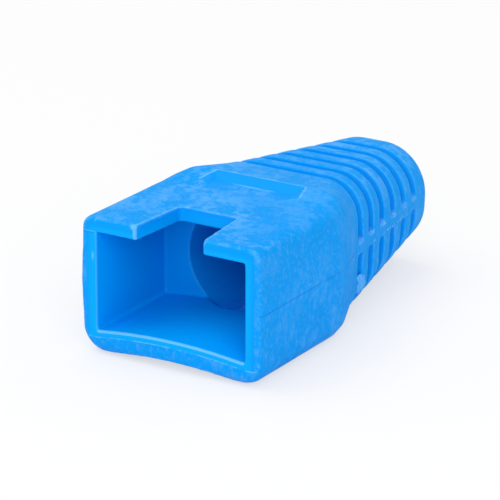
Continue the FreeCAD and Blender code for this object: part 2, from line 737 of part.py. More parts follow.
def groove_sketch(name, station, half_width, rise, drop, top_corner, bottom_corner):
    """Two open rings that stay outside the groove's floor, one over and one
    under the parting plane, with the side spine left standing between them.

    The arguments describe the outside at this station, as expressions.
    """
    sketch = new_sketch(name, "XZ_Plane", "-(%s)" % station)
    depth = "Sizes.groove_depth"
    reach = number(BOX_HALF_WIDTH) + 1

    def add(*arguments):
        return sketch.addConstraint(Sketcher.Constraint(*arguments))

    def ring(side, height, corner, tag):
        """One ring: side is +1 above the parting plane and -1 below it."""
        floor_half = "(%s) - %s" % (half_width, depth)
        floor_rise = "(%s) - %s" % (height, depth)
        room = "(%s) - %s - Sizes.spine_height / 2 - 0.1" % (height, depth)
        floor_corner = "min((%s) - %s; %s)" % (corner, depth, room)
        w = number(floor_half)
        up = number(floor_rise) * side
        r = number(floor_corner)
        s = number("Sizes.spine_height / 2") * side
        far = reach * side
        first = sketch.GeometryCount

        def line(x1, z1, x2, z2):
            sketch.addGeometry(Part.LineSegment(Vec(x1, z1, 0), Vec(x2, z2, 0)))

        line(w, s, reach, s)
        line(reach, s, reach, far)
        line(reach, far, -reach, far)
        line(-reach, far, -reach, s)
        line(-reach, s, -w, s)
        line(-w, s, -w, up - r * side)
        circle = Part.Circle(Vec(r - w, up - r * side, 0), Vec(0, 0, 1), r)
        half_turn = math.pi
        if side > 0:
            sketch.addGeometry(Part.ArcOfCircle(circle, half_turn / 2, half_turn))
        else:
            sketch.addGeometry(Part.ArcOfCircle(circle, half_turn, 1.5 * half_turn))
        line(r - w, up, w - r, up)
        circle = Part.Circle(Vec(w - r, up - r * side, 0), Vec(0, 0, 1), r)
        if side > 0:
            sketch.addGeometry(Part.ArcOfCircle(circle, 0, half_turn / 2))
        else:
            sketch.addGeometry(Part.ArcOfCircle(circle, 1.5 * half_turn, 2 * half_turn))
        line(w, up - r * side, w, s)
        right_in, right_out, roof, left_out, left_in = range(first, first + 5)
        left_wall, left_arc, floor, right_arc, right_wall = range(first + 5, first + 10)
        near, away = (START, END) if side > 0 else (END, START)
        add("Coincident", right_in, END, right_out, START)
        add("Coincident", right_out, END, roof, START)
        add("Coincident", roof, END, left_out, START)
        add("Coincident", left_out, END, left_in, START)
        add("Coincident", left_in, END, left_wall, START)
        add("Tangent", left_wall, END, left_arc, away)
        add("Tangent", left_arc, near, floor, START)
        add("Tangent", floor, END, right_arc, away)
        add("Tangent", right_arc, near, right_wall, START)
        add("Coincident", right_wall, END, right_in, START)
        add("Horizontal", right_in)
        add("Horizontal", left_in)
        add("Vertical", right_out)
        add("Vertical", left_out)
        add("Symmetric", roof, START, roof, END, V_AXIS)
        add("Symmetric", floor, START, floor, END, V_AXIS)
        add("Symmetric", left_wall, START, right_wall, END, V_AXIS)
        add("Equal", left_arc, right_arc)
        bind(sketch, add("Radius", left_arc, r), tag + "_corner", floor_corner)
        at = add("DistanceX", roof, END, roof, START, 2 * reach)
        bind(sketch, at, tag + "_reach", "2 * (%s + 1)" % BOX_HALF_WIDTH)
        if side > 0:
            at = add("DistanceY", H_AXIS, ORIGIN_POINT, roof, START, reach)
            bind(sketch, at, tag + "_far", "%s + 1" % BOX_HALF_WIDTH)
            at = add("DistanceY", H_AXIS, ORIGIN_POINT, right_in, START, s)
            bind(sketch, at, tag + "_spine", "Sizes.spine_height / 2")
            at = add("DistanceY", H_AXIS, ORIGIN_POINT, floor, START, up)
            bind(sketch, at, tag + "_floor", floor_rise)
            slope = -90
            slope_text = "Sizes.side_draft - 90"
        else:
            at = add("DistanceY", roof, START, H_AXIS, ORIGIN_POINT, reach)
            bind(sketch, at, tag + "_far", "%s + 1" % BOX_HALF_WIDTH)
            at = add("DistanceY", right_in, START, H_AXIS, ORIGIN_POINT, -s)
            bind(sketch, at, tag + "_spine", "Sizes.spine_height / 2")
            at = add("DistanceY", floor, START, H_AXIS, ORIGIN_POINT, -up)
            bind(sketch, at, tag + "_floor", floor_rise)
            slope = 90
            slope_text = "90 - Sizes.side_draft"
        wall_half = "(%s) - Sizes.spine_height / 2 * tan(Sizes.side_draft * 1 deg)"
        at = add("DistanceX", H_AXIS, ORIGIN_POINT, right_in, START, w)
        bind(sketch, at, tag + "_half", wall_half % floor_half)
        at = add("Angle", right_wall, FreeCAD.Units.Quantity("%d deg" % slope))
        bind(sketch, at, tag + "_slope", slope_text)

    ring(1, rise, top_corner, "over")
    ring(-1, drop, bottom_corner, "under")
    return sketch


grooves = []
feature = recess
for index in range(GROOVES):
    share = index / (GROOVES - 1)
    station = "(Sizes.groove_first + %s * %.6f)" % (GROOVE_SPAN, share)
    groove = body.newObject("PartDesign::Pocket", "Groove%d" % (index + 1))
    rings = groove_sketch("GrooveRings%d" % (index + 1), station, *tail_outline(station))
    groove.Profile = rings
    groove.Type = "Length"
    groove.Midplane = True
    groove.setExpression("Length", "Sizes.groove_width")
    check_cut(feature, groove)
    grooves.append(groove)
    feature = groove


# ------------------------------------------------------------ set down and write

body.Tip = feature
body.setExpression("Placement.Base.y", "-Sizes.overall_length / 2")
body.setExpression("Placement.Base.z", BOX_DROP)
doc.recompute()

for item in doc.Objects:
    if "Invalid" in item.State or "Error" in item.State:
        raise RuntimeError("%s didn't build: %s" % (item.Name, item.State))
shape = body.Shape
if shape.isNull() or not shape.isValid() or len(shape.Solids) != 1:
    raise RuntimeError("the boot isn't one valid solid")

os.makedirs("parts", exist_ok=True)
shape.exportStep("parts/boot.step")
print("boot:", shape.BoundBox, "volume", round(shape.Volume, 1))
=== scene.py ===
"""Looks of a moulded strain relief boot: its soft body, its mould marks and its stage."""

import json
import math

import bpy
from mathutils import Matrix, Vector, noise
from mathutils.bvhtree import BVHTree


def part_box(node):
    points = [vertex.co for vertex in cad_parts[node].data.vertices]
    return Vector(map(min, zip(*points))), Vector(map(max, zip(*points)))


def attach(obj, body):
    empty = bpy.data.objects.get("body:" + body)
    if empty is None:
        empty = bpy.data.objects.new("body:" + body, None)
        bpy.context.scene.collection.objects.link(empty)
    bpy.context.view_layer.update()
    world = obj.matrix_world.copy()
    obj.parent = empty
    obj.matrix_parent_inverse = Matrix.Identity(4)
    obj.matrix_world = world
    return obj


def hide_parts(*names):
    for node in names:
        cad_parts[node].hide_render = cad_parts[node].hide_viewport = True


bl_info = {
    "name": "Strain Relief Boot",
    "version": (1, 0, 0),
    "blender": (4, 5, 0),
    "location": "View3D > Sidebar > Boot",
    "description": "Finishes a moulded cable boot and sets a studio round it",
    "category": "Object",
}

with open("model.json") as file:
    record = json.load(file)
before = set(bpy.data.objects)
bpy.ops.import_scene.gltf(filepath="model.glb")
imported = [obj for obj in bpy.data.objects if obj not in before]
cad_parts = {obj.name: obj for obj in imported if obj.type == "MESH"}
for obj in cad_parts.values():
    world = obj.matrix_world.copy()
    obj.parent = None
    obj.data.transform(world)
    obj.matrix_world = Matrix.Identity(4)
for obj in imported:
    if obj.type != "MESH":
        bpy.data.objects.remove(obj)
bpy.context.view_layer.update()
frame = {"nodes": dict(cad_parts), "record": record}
BODY = "root"
NODE = "boot"
LOW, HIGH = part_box(NODE)
SOLID = BVHTree.FromPolygons(
    [v.co.copy() for v in frame["nodes"][NODE].data.vertices],
    [tuple(p.vertices) for p in frame["nodes"][NODE].data.polygons],
)
MM = 0.001


def opening(name):
    """The lowest and highest corner of a named opening of the boot."""
    for entry in frame["record"]["physics"]["openings"]:
        if entry["name"] == name:
            return Vector(entry["box_m"][0]), Vector(entry["box_m"][1])
    raise RuntimeError("the boot has no opening named %s" % name)


def mount(name):
    """The record's entry of a named mount of the boot."""
    for entry in frame["record"]["mounts"]:
        if entry["name"] == name:
            return entry
    raise RuntimeError("the boot has no mount named %s" % name)


# Places on the boot. "Back" is a distance behind the mouth, "across" is one from the
# middle plane, and a height is one above the parting plane of the mould.
MOUTH_Y = LOW.y
PARTING_Z = mount("cable_bore")["pos_m"][2]
CREST = HIGH.z - PARTING_Z
CAVITY_REAR = opening("plug_cavity")[1].y - MOUTH_Y
NOTCH_SIDE = opening("latch_notch")[1].x

# The shoulder ends here, and the tail with its grooves starts.
TAIL_START = 14.5 * MM
GROOVES = 6

# How far the polished faces reach past the cavity's walls, its ceiling and the bore.
WALL_REACH = 0.6 * MM
CEILING_REACH = 0.45 * MM
BORE_REACH = 0.22 * MM

# The bore starts as a cone behind the cavity. The taper is radius lost per length.
BORE_RADIUS = mount("cable_bore")["dims"]["r_mm"] * MM
CONE_RADIUS = 4.0 * MM
CONE_TAPER = 0.0926

# The sloping recess in the crest. Its sides draw together towards the back: across
# plus the flare times back is the same all along them.
RECESS_START = 9.4 * MM
RAMP_FOOT = 11.0 * MM
RECESS_END = 12.0 * MM
RECESS_SIDE = 6.67 * MM
RECESS_FLARE = 0.25

# The eroded skin starts this far under the cavity's floor and this far across.
STRIP_HEIGHT = 0.48 * MM
STRIP_SIDE = 6.72 * MM


# --- settings


class BootBody(bpy.types.PropertyGroup):
    """How finely the body is made, and where its mould left edges."""

    grain: bpy.props.FloatProperty(
        name="Grain",
        description="Spacing of the body's mesh",
        default=0.1 * MM,
        min=0.05 * MM,
        max=1.0 * MM,
        unit="LENGTH",
    )
    triangles: bpy.props.IntProperty(
        name="Triangles",
        description="Most triangles in the finished body",
        default=190000,
        min=10000,
    )
    cavity_width: bpy.props.FloatProperty(
        name="Cavity width",
        description="Width of the plug cavity",
        default=12.0 * MM,
        unit="LENGTH",
    )
    cavity_height: bpy.props.FloatProperty(
        name="Cavity height",
        description="Height of the plug cavity at its sides",
        default=7.2 * MM,
        unit="LENGTH",
    )
    floor_arch: bpy.props.FloatProperty(
        name="Floor arch",
        description="Rise of the cavity's floor at its middle",
        default=0.42 * MM,
        unit="LENGTH",
    )
    notch_width: bpy.props.FloatProperty(
        name="Notch width",
        description="Width of the latch notch at the mouth",
        default=5.45 * MM,
        unit="LENGTH",
    )
    groove_first: bpy.props.FloatProperty(
        name="First groove",
        description="Mouth to the middle of the first groove",
        default=15.75 * MM,
        unit="LENGTH",
    )
    groove_pitch: bpy.props.FloatProperty(
        name="Groove pitch",
        description="Spacing of the grooves",
        default=2.02 * MM,
        unit="LENGTH",
    )
    groove_width: bpy.props.FloatProperty(
        name="Groove width",
        description="Width of a groove",
        default=0.85 * MM,
        unit="LENGTH",
    )
    spine_height: bpy.props.FloatProperty(
        name="Spine height",
        description="Height of the side spines between the grooves",
        default=1.1 * MM,
        unit="LENGTH",
    )
    rib_wear: bpy.props.IntProperty(
        name="Rib wear",
        description="Smoothing passes that round the ribs' crowns",
        default=8,
        min=0,
    )
    skin_depth: bpy.props.FloatProperty(
        name="Skin depth",
        description="Depth of the hollows in the eroded skin",
        default=0.03 * MM,
        min=0.0,
        unit="LENGTH",
    )


# What the colours have in common.
RGB = {"size": 3, "min": 0.0, "max": 1.0}


class BootColours(bpy.types.PropertyGroup):
    """Colours of the soft plastic."""

    polished: bpy.props.FloatVectorProperty(
        name="Polished faces",
        description="Colour where the polished core and the groove inserts touched",
        subtype="COLOR",
        **RGB,
        default=(0.0, 0.33, 0.98),
    )
    eroded: bpy.props.FloatVectorProperty(
        name="Eroded faces",
        description="Main colour of the eroded outside",
        subtype="COLOR",
        **RGB,
        default=(0.0, 0.335, 0.93),
    )
    bloom: bpy.props.FloatVectorProperty(
        name="Bloom",
        description="Paler colour of the outside's streaks and clouds",
        subtype="COLOR",
        **RGB,
        default=(0.085, 0.42, 0.97),
    )
    # painted shade: this darker colour is blended in deeper inside the cavity and the bore
    core: bpy.props.FloatVectorProperty(
        name="Cavity",
        description="Colour of the polished walls inside the cavity and the bore",
        subtype="COLOR",
        **RGB,
        default=(0.0, 0.345, 0.86),
    )
    groove: bpy.props.FloatVectorProperty(
        name="Grooves",
        description="Colour of the polished bending grooves",
        subtype="COLOR",
        **RGB,
        default=(0.0, 0.40, 0.98),
    )
    # this pale colour is used for real flash and also for the painted highlights along edges
    flash: bpy.props.FloatVectorProperty(
        name="Flash",
        description="Palest colour, of thin flash and stressed edges",
        subtype="COLOR",
        **RGB,
        default=(0.14, 0.52, 1.0),
    )
    seam: bpy.props.FloatVectorProperty(
        name="Seam",
        description="Colour in the fine step of a seam",
        subtype="COLOR",
        **RGB,
        default=(0.006, 0.18, 0.72),
    )


class BootStage(bpy.types.PropertyGroup):
    """The lamps and the camera."""

    azimuth: bpy.props.FloatProperty(
        name="Azimuth",
        description="Direction of the camera round the boot",
        default=math.radians(31.637),
        subtype="ANGLE",
    )
    elevation: bpy.props.FloatProperty(
        name="Elevation",
        description="Height of the camera above the horizon",
        default=math.radians(19.895),
        subtype="ANGLE",
    )
    distance: bpy.props.FloatProperty(
        name="Distance",
        description="Distance of the camera",
        default=269.065 * MM,
        unit="LENGTH",
    )
    lens: bpy.props.FloatProperty(
        name="Lens",
        description="Focal length of the camera, in millimetres",
        default=283.0,
    )
    ambient: bpy.props.FloatProperty(
        name="Ambient",
        description="Strength of the light from all round",
        default=0.64,
        min=0.0,
    )
    whiteness: bpy.props.FloatProperty(
        name="Whiteness",
        description="How far the camera sees the floor as plain white",
        default=0.62,
        min=0.0,
        max=1.0,
        subtype="FACTOR",
    )


# --- helpers


def deselect():
    """Leaves nothing selected and no object in edit mode."""
    if bpy.context.object and bpy.context.object.mode != "OBJECT":
        bpy.ops.object.mode_set(mode="OBJECT")
    bpy.ops.object.select_all(action="DESELECT")


def activate(obj):
    """Selects one object alone and makes it the active one."""
    deselect()
    obj.select_set(True)
    bpy.context.view_layer.objects.active = obj


def apply_modifier(obj, kind, name, **settings):
    """Adds a modifier with its settings and applies it."""
    activate(obj)
    modifier = obj.modifiers.new(name, kind)
    for key, value in settings.items():
        setattr(modifier, key, value)
    bpy.ops.object.modifier_apply(modifier=modifier.name)


def edit_all(obj, operator, **settings):
    """Runs one operator on all of an object's mesh, in edit mode."""
    activate(obj)
    bpy.ops.object.mode_set(mode="EDIT")
    bpy.ops.mesh.select_all(action="SELECT")
    operator(**settings)
    bpy.ops.object.mode_set(mode="OBJECT")


def finish_piece(obj, material):
    """Gives a piece its only material and the body that it rides on."""
    obj.data.materials.clear()
    obj.data.materials.append(material)
    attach(obj, BODY)


def triangle_count(mesh):
    return sum(len(p.vertices) - 2 for p in mesh.polygons)


def step(low, high, value):
    """0 below low, 1 above high, and a smooth rise between them."""
    share = min(max((value - low) / (high - low), 0.0), 1.0)
    return share * share * (3.0 - 2.0 * share)


def floor_level(x):
    """Height of the cavity's arched floor above the parting plane."""
    body = bpy.context.scene.boot_body
    share = min(abs(x) / (body.cavity_width / 2), 1.0)
    return body.floor_arch * (1.0 - share * share) - body.cavity_height / 2


def groove_distance(back):
    """How far a station behind the mouth is from the middle of the nearest groove."""
    body = bpy.context.scene.boot_body
    nearest = round((back - body.groove_first) / body.groove_pitch)
    nearest = min(max(nearest, 0), GROOVES - 1)
    return abs(back - body.groove_first - nearest * body.groove_pitch)


def surface(back, angle):
    """Point on the boot's outside, looked for from far out towards its middle line."""
    far_out = 20 * MM
    way = Vector((math.cos(angle), 0.0, math.sin(angle)))
    start = Vector((0.0, MOUTH_Y + back, PARTING_Z)) + way * far_out
    place, _, _, _ = SOLID.ray_cast(start, -way)
    if place is None:
        raise RuntimeError("no surface %.1f mm behind the mouth" % (back / MM))
    return place


# --- materials


class Nodes:
    """Adds nodes to the tree of a material or a world, from left to right."""

    def __init__(self, owner):
        owner.use_nodes = True
        self.owner = owner
        self.tree = owner.node_tree
        self.tree.nodes.clear()
        self.column = 0

    def add(self, kind, **settings):
        node = self.tree.nodes.new(kind)
        node.location = (self.column * 190, 0)
        self.column += 1
        for key, value in settings.items():
            setattr(node, key, value)
        return node

    def join(self, source, target):
        self.tree.links.new(source, target)

    def attribute(self, name):
        return self.add("ShaderNodeAttribute", attribute_name=name).outputs["Fac"]

    def noise(self, coordinates, scale, detail, roughness, distortion=0.0):
        node = self.add("ShaderNodeTexNoise")
        node.inputs["Scale"].default_value = scale
        node.inputs["Detail"].default_value = detail
        node.inputs["Roughness"].default_value = roughness
        node.inputs["Distortion"].default_value = distortion
        self.join(coordinates, node.inputs["Vector"])
        return node.outputs["Fac"]

    def rise(self, value, low, high, to_low=0.0, to_high=1.0):
        """A smooth change from to_low to to_high while a value goes from low to high."""
        node = self.add("ShaderNodeMapRange", interpolation_type="SMOOTHSTEP")
        self.join(value, node.inputs["Value"])
        node.inputs["From Min"].default_value = low
        node.inputs["From Max"].default_value = high
        node.inputs["To Min"].default_value = to_low
        node.inputs["To Max"].default_value = to_high
        return node.outputs["Result"]

    def fall(self, value, low, high, to_low=1.0):
        """A smooth change from to_low to 0 while a value goes from low to high."""
        return self.rise(value, low, high, to_low, 0.0)

    def line(self, value, middle, half, soft):
        """1 where a value is within half of the middle, with a soft border."""
        off = self.calc("ABSOLUTE", self.calc("SUBTRACT", value, middle))
        return self.fall(off, half, half + soft)

    def calc(self, operation, *values):
        """One arithmetic step on sockets and numbers."""
        node = self.add("ShaderNodeMath", operation=operation)
        for socket, value in zip(node.inputs, values):
            if isinstance(value, (int, float)):
                socket.default_value = value
            else:
                self.join(value, socket)
        return node.outputs[0]

    def flip(self, value):
        return self.calc("SUBTRACT", 1.0, value)

    def add_scaled(self, value, factor, total):
        """A total with a value times a factor added to it."""
        return self.calc("MULTIPLY_ADD", value, factor, total)

    def product(self, *values):
        result = values[0]
        for value in values[1:]:
            result = self.calc("MULTIPLY", result, value)
        return result

    def highest(self, *values):
        result = values[0]
        for value in values[1:]:
            result = self.calc("MAXIMUM", result, value)
        return result

    def length(self, *parts):
        """Length of the vector that has these parts."""
        total = self.calc("MULTIPLY", parts[0], parts[0])
        for part in parts[1:]:
            total = self.add_scaled(part, part, total)
        return self.calc("SQRT", total)

    def mix(self, share, first, second):
        """A colour between two, each of them a socket or a colour's three numbers."""
        node = self.add("ShaderNodeMix", data_type="RGBA")
        self.join(share, node.inputs["Factor"])
        for socket, value in ((node.inputs[6], first), (node.inputs[7], second)):
            if hasattr(value, "is_output"):
                self.join(value, socket)
            else:
                socket.default_value = (*value, 1.0)
        return node.outputs[2]

    def mix_number(self, share, first, second):
        node = self.add("ShaderNodeMix", data_type="FLOAT")
        self.join(share, node.inputs["Factor"])
        self.join(first, node.inputs[2])
        self.join(second, node.inputs[3])
        return node.outputs[0]

    def finish_mix(self, share, first, second, output):
        """Joins a mix of two shaders to an output of the given kind."""
        pick = self.add("ShaderNodeMixShader")
        self.join(share, pick.inputs[0])
        self.join(first.outputs[0], pick.inputs[1])
        self.join(second.outputs[0], pick.inputs[2])
        self.join(pick.outputs[0], self.add(output).inputs["Surface"])

    def finish(self, base, roughness, relief):
        """Joins colour, roughness and relief to the shader and the output."""
        bump = self.add("ShaderNodeBump")
        bump.inputs["Strength"].default_value = 0.6
        bump.inputs["Distance"].default_value = 0.05 * MM
        self.join(relief, bump.inputs["Height"])
        shader = self.add("ShaderNodeBsdfPrincipled")
        self.join(base, shader.inputs["Base Color"])
        self.join(roughness, shader.inputs["Roughness"])
        self.join(bump.outputs["Normal"], shader.inputs["Normal"])
        shader.inputs["IOR"].default_value = 1.45
        shader.inputs["Specular IOR Level"].default_value = 0.06
        out = self.add("ShaderNodeOutputMaterial")
        self.join(shader.outputs[0], out.inputs["Surface"])
        return self.owner


class SoftPlastic(Nodes):
    """The boot's plastic: bright where polished steel formed it, streaked and cloudy outside."""

    def __init__(self):
        super().__init__(bpy.data.materials.new("soft_plastic"))
        scene = bpy.context.scene
        self.body, self.colours = scene.boot_body, scene.boot_colours
        self.wall = self.body.cavity_width / 2
        self.ceiling = self.body.cavity_height / 2
        self.spine = self.body.spine_height / 2
        self.half_groove = self.body.groove_width / self.body.groove_pitch / 2

        place = self.add("ShaderNodeTexCoord").outputs["Object"]
        axes = self.add("ShaderNodeSeparateXYZ")
        self.join(place, axes.inputs[0])
        self.x = axes.outputs["X"]
        self.across = self.calc("ABSOLUTE", self.x)
        self.back = self.calc("SUBTRACT", axes.outputs["Y"], MOUTH_Y)
        self.height = self.calc("SUBTRACT", axes.outputs["Z"], PARTING_Z)
        self.under = self.depth_under_floor()
        self.turn = self.groove_turn()
        self.off = self.calc("ABSOLUTE", self.turn)

        self.eroded = self.attribute("eroded")
        # painted highlight along edges that bend outwards
        self.edge = self.attribute("edge")
        self.outside = self.attribute("outside")
        self.inside = self.flip(self.outside)
        self.level_sheen = self.attribute("level_sheen")

        drawn = self.add("ShaderNodeMapping")
        drawn.inputs["Scale"].default_value = (1.0, 1.0, 0.75)
        self.join(place, drawn.inputs["Vector"])
        drawn = drawn.outputs["Vector"]
        self.drift = self.noise(place, 170.0, detail=2.0, roughness=0.5)
        self.clouds = self.noise(place, 420.0, detail=3.0, roughness=0.6, distortion=0.3)
        self.streaks = self.noise(drawn, 1500.0, detail=4.0, roughness=0.7, distortion=0.15)
        self.specks = self.noise(drawn, 3600.0, detail=2.0, roughness=0.6)
        self.pits = self.noise(place, 6000.0, detail=2.0, roughness=0.5)

    def depth_under_floor(self):
        """How far a place lies under the level of the cavity's arched floor."""
        arch = self.body.floor_arch
        share = self.calc("DIVIDE", self.across, self.wall)
        share = self.calc("MINIMUM", self.product(share, share), 1.0)
        level = self.add_scaled(share, -arch, arch - self.ceiling)
        return self.calc("SUBTRACT", level, self.height)

    def groove_turn(self):
        """How far behind the middle of the nearest groove a place is, in groove pitches."""
        turn = self.calc("SUBTRACT", self.back, self.body.groove_first)
        turn = self.calc("DIVIDE", turn, self.body.groove_pitch)
        nearest = self.calc("MAXIMUM", self.calc("ROUND", turn), 0.0)
        nearest = self.calc("MINIMUM", nearest, GROOVES - 1.0)
        return self.calc("SUBTRACT", turn, nearest)

    def grooves(self):
        """1 in the grooves, which polished inserts formed. They end at the spines."""
        spine = self.spine
        return self.product(
            self.fall(self.off, self.half_groove, self.half_groove * 1.4),
            self.highest(
                self.rise(self.height, spine - 0.1 * MM, spine + 0.1 * MM),
                self.fall(self.height, -spine - 0.6 * MM, -spine - 0.1 * MM),
            ),
            self.outside,
        )

    def skin(self, grooves):
        """1 on the eroded skin, with the strip under the cavity's edge and beside it."""
        skin = self.highest(
            self.eroded,
            self.rise(self.under, STRIP_HEIGHT, STRIP_HEIGHT + 0.06 * MM),
            self.rise(self.across, STRIP_SIDE, STRIP_SIDE + 0.12 * MM),
        )
        return self.product(skin, self.flip(grooves))

    def bloom(self, skin):
        """Pale clouds, streaks and specks of the eroded skin, with painted sheen that makes them
        strongest on faces that lie level.
        """
        bloom = self.add_scaled(self.clouds, 0.35, self.product(self.streaks, 0.65))
        # painted sheen: faces that lie level get more of the pale bloom
        bloom = self.add_scaled(self.level_sheen, 0.035, bloom)
        bloom = self.product(
            self.rise(bloom, 0.47, 0.61),
            self.add_scaled(self.level_sheen, 0.4, 0.36),
            self.rise(self.drift, 0.36, 0.64, 0.6, 1.35),
        )
        bloom = self.calc("ADD", bloom, self.rise(self.specks, 0.52, 0.68, 0.0, 0.3))
        return self.calc("MINIMUM", self.product(bloom, skin), 1.0)

    def seam(self):
        """Fine step where the two mould halves meet, with two gaps towards the tail."""
        gaps = self.highest(
            self.line(self.back, 8.15 * MM, 0.3 * MM, 0.2 * MM),
            self.line(self.back, 11.35 * MM, 0.7 * MM, 0.3 * MM),
        )
        return self.product(
            self.line(self.height, 0.0, 0.015 * MM, 0.035 * MM),
            self.add_scaled(gaps, -0.85, 1.0),
            self.fall(self.back, TAIL_START - 0.7 * MM, TAIL_START + 0.1 * MM),
            self.eroded,
        )

    def strip_border(self):
        """Pale flash along the upper border of the strip under the cavity."""
        return self.product(
            self.line(self.under, STRIP_HEIGHT, 0.02 * MM, 0.035 * MM),
            self.at_mouth(),
            self.rise(self.streaks, 0.40, 0.56, 0.0, 0.7),
        )

    def groove_ends(self):
        """Pale flash where the grooves end at the spines."""
        return self.product(
            self.fall(self.off, self.half_groove * 0.7, self.half_groove * 1.5),
            self.line(self.height, self.spine - 0.1 * MM, 0.08 * MM, 0.22 * MM),
            self.rise(self.streaks, 0.35, 0.6, 0.15, 0.6),
            self.outside,
        )

    def at_mouth(self):
        """1 on the face of the mouth, and 0 behind its edge."""
        return self.fall(self.back, 0.1 * MM, 0.2 * MM)

    def lead_in(self):
        """Highlight of the chamfer that leads into the cavity, along its floor and left wall."""
        along_floor = self.product(
            self.line(self.under, 0.065 * MM, 0.08 * MM, 0.03 * MM),
            self.fall(self.across, self.wall - 0.06 * MM, self.wall),
        )
        up_wall = self.product(
            self.line(self.x, -self.wall - 0.03 * MM, 0.04 * MM, 0.03 * MM),
            self.fall(self.under, -0.1 * MM, 0.0, 0.3),
        )
        return self.product(
            self.line(self.back, 0.095 * MM, 0.07 * MM, 0.02 * MM),
            self.highest(along_floor, up_wall),
        )

    def recess_highlights(self):
        """Painted highlight along the recess in the crest: its rear edge, its sides and the
        ramp's foot.
        """
        slant = self.add_scaled(self.back, RECESS_FLARE, self.across)
        rear = self.product(
            self.line(self.back, RECESS_END + 0.02 * MM, 0.05 * MM, 0.07 * MM),
            self.fall(self.across, 3.6 * MM, 3.8 * MM),
        )
        sides = self.product(
            self.line(slant, RECESS_SIDE, 0.05 * MM, 0.07 * MM),
            self.rise(self.back, 10.1 * MM, 10.7 * MM),
            self.fall(self.back, RECESS_END, RECESS_END + 0.1 * MM),
        )
        foot = self.product(
            self.line(self.back, RAMP_FOOT, 0.03 * MM, 0.06 * MM),
            self.fall(self.across, 1.2 * MM, 2.0 * MM),
            0.9,
        )
        return self.product(
            self.highest(rear, sides, foot),
            self.rise(self.height, 4.0 * MM, 4.2 * MM),
            self.rise(self.streaks, 0.35, 0.6, 0.35, 0.85),
        )

    def left_lip(self):
        """1 on the left wall's face at the mouth, where the core's split line ends."""
        return self.product(
            self.fall(self.x, -self.wall - 0.2 * MM, -self.wall - 0.1 * MM),
            self.fall(self.back, 0.3 * MM, 0.5 * MM),
        )

    def nick(self):
        """A small tall nick in the face of the left wall."""
        wide = self.calc("ADD", self.x, self.wall + 0.25 * MM)
        tall = self.calc("SUBTRACT", self.height, 1.86 * MM)
        reach = self.length(self.product(wide, 2.0), self.product(tall, 0.5))
        reach = self.add_scaled(self.specks, 0.15 * MM, reach)
        return self.product(self.fall(reach, 0.16 * MM, 0.28 * MM, 0.7), self.at_mouth())

    def torn_lip(self):
        """Torn flash at the notch's left corner: along its edge, and a blob on the face."""
        aside = self.calc("ADD", self.x, self.body.notch_width / 2)
        edge = self.add_scaled(self.specks, 0.35 * MM, self.length(self.back, aside))
        low = self.calc("ADD", aside, 0.22 * MM)
        lip = self.calc("SUBTRACT", self.height, CREST - 0.35 * MM)
        blob = self.add_scaled(self.streaks, 0.6 * MM, self.length(lip, low, self.back))
        return self.product(
            self.highest(
                self.fall(edge, 0.33 * MM, 0.42 * MM, 0.85),
                self.fall(blob, 0.58 * MM, 0.78 * MM, 0.9),
            ),
            self.rise(self.height, self.ceiling - 0.1 * MM, self.ceiling),
        )

    def base_colour(self, skin, grooves, bloom, flash, seam):
        """Colour of every part, from the polished faces up to the marks on the skin, with painted
        light at the mouth, painted shade deeper in the cavity and in the grooves, and painted
        highlights among the pale marks.
        """
        colours = self.colours
        # painted light and shade: round the cavity the polished faces are a fifth brighter than
        # elsewhere, and deeper inside they fade to the darker cavity colour, a painted shade
        rim = tuple(min(c * 1.2, 1.0) for c in colours.polished)
        painted_cavity_shade = self.product(self.rise(self.back, 0.5 * MM, 7.0 * MM), self.inside)
        plain = self.mix(self.outside, rim, colours.polished)
        plain = self.mix(painted_cavity_shade, plain, colours.core)

        # painted shade: the grooves are darker, apart from their rear walls, which face the mouth
        # and stay bright
        red, green, blue = colours.groove
        painted_groove_shade = (red, green * 0.58, blue * 0.78)
        wall = self.rise(self.turn, self.half_groove * 0.75, self.half_groove * 1.2)
        plain = self.mix(grooves, plain, self.mix(wall, painted_groove_shade, colours.groove))

        dull = tuple(c * 0.93 for c in colours.eroded)
        base = self.mix(self.rise(self.streaks, 0.35, 0.65), colours.eroded, dull)
        base = self.mix(skin, plain, base)
        base = self.mix(bloom, base, colours.bloom)
        base = self.mix(flash, base, colours.flash)
        return self.mix(self.product(seam, 0.8), base, colours.seam)

    def roughness(self, skin):
        """The skin is rougher than the polished faces, and so is the bore with its cone."""
        bore = self.rise(self.back, CAVITY_REAR + 0.1 * MM, CAVITY_REAR + 0.25 * MM)
        smooth = self.rise(self.clouds, 0.3, 0.7, 0.36, 0.44)
        smooth = self.add_scaled(self.product(bore, self.inside), 0.3, smooth)
        return self.mix_number(skin, smooth, self.rise(self.streaks, 0.3, 0.7, 0.52, 0.66))

    def relief(self, skin, flash, seam):
        """Grain of the skin, with the flash standing proud and the seam sunk."""
        relief = self.add_scaled(self.streaks, 0.8, self.product(self.specks, 0.35))
        relief = self.add_scaled(self.pits, 0.2, relief)
        relief = self.product(relief, self.add_scaled(skin, 0.94, 0.06))
        relief = self.add_scaled(seam, -0.3, relief)
        return self.add_scaled(flash, 0.3, relief)

    def make(self):
        """Puts the material together."""
        grooves = self.grooves()
        skin = self.skin(grooves)
        left_lip = self.left_lip()
        # partly real flash and partly painted highlight: the pale edges, the recess's edges and
        # the lead-in
        flash = self.highest(
            self.product(self.edge, self.rise(self.streaks, 0.3, 0.6, 0.6, 0.95)),
            self.strip_border(),
            self.groove_ends(),
            self.torn_lip(),
            self.recess_highlights(),
            self.lead_in(),
            self.nick(),
            self.product(
                left_lip,
                self.line(self.height, self.ceiling + 0.05 * MM, 0.02 * MM, 0.04 * MM),
                0.45,
            ),
        )
        split = self.line(self.height, self.ceiling - 0.04 * MM, 0.015 * MM, 0.03 * MM)
        seam = self.highest(self.seam(), self.product(left_lip, split))
        return self.finish(
            self.base_colour(skin, grooves, self.bloom(skin), flash, seam),
            self.roughness(skin),
            self.relief(skin, flash, seam),
        )


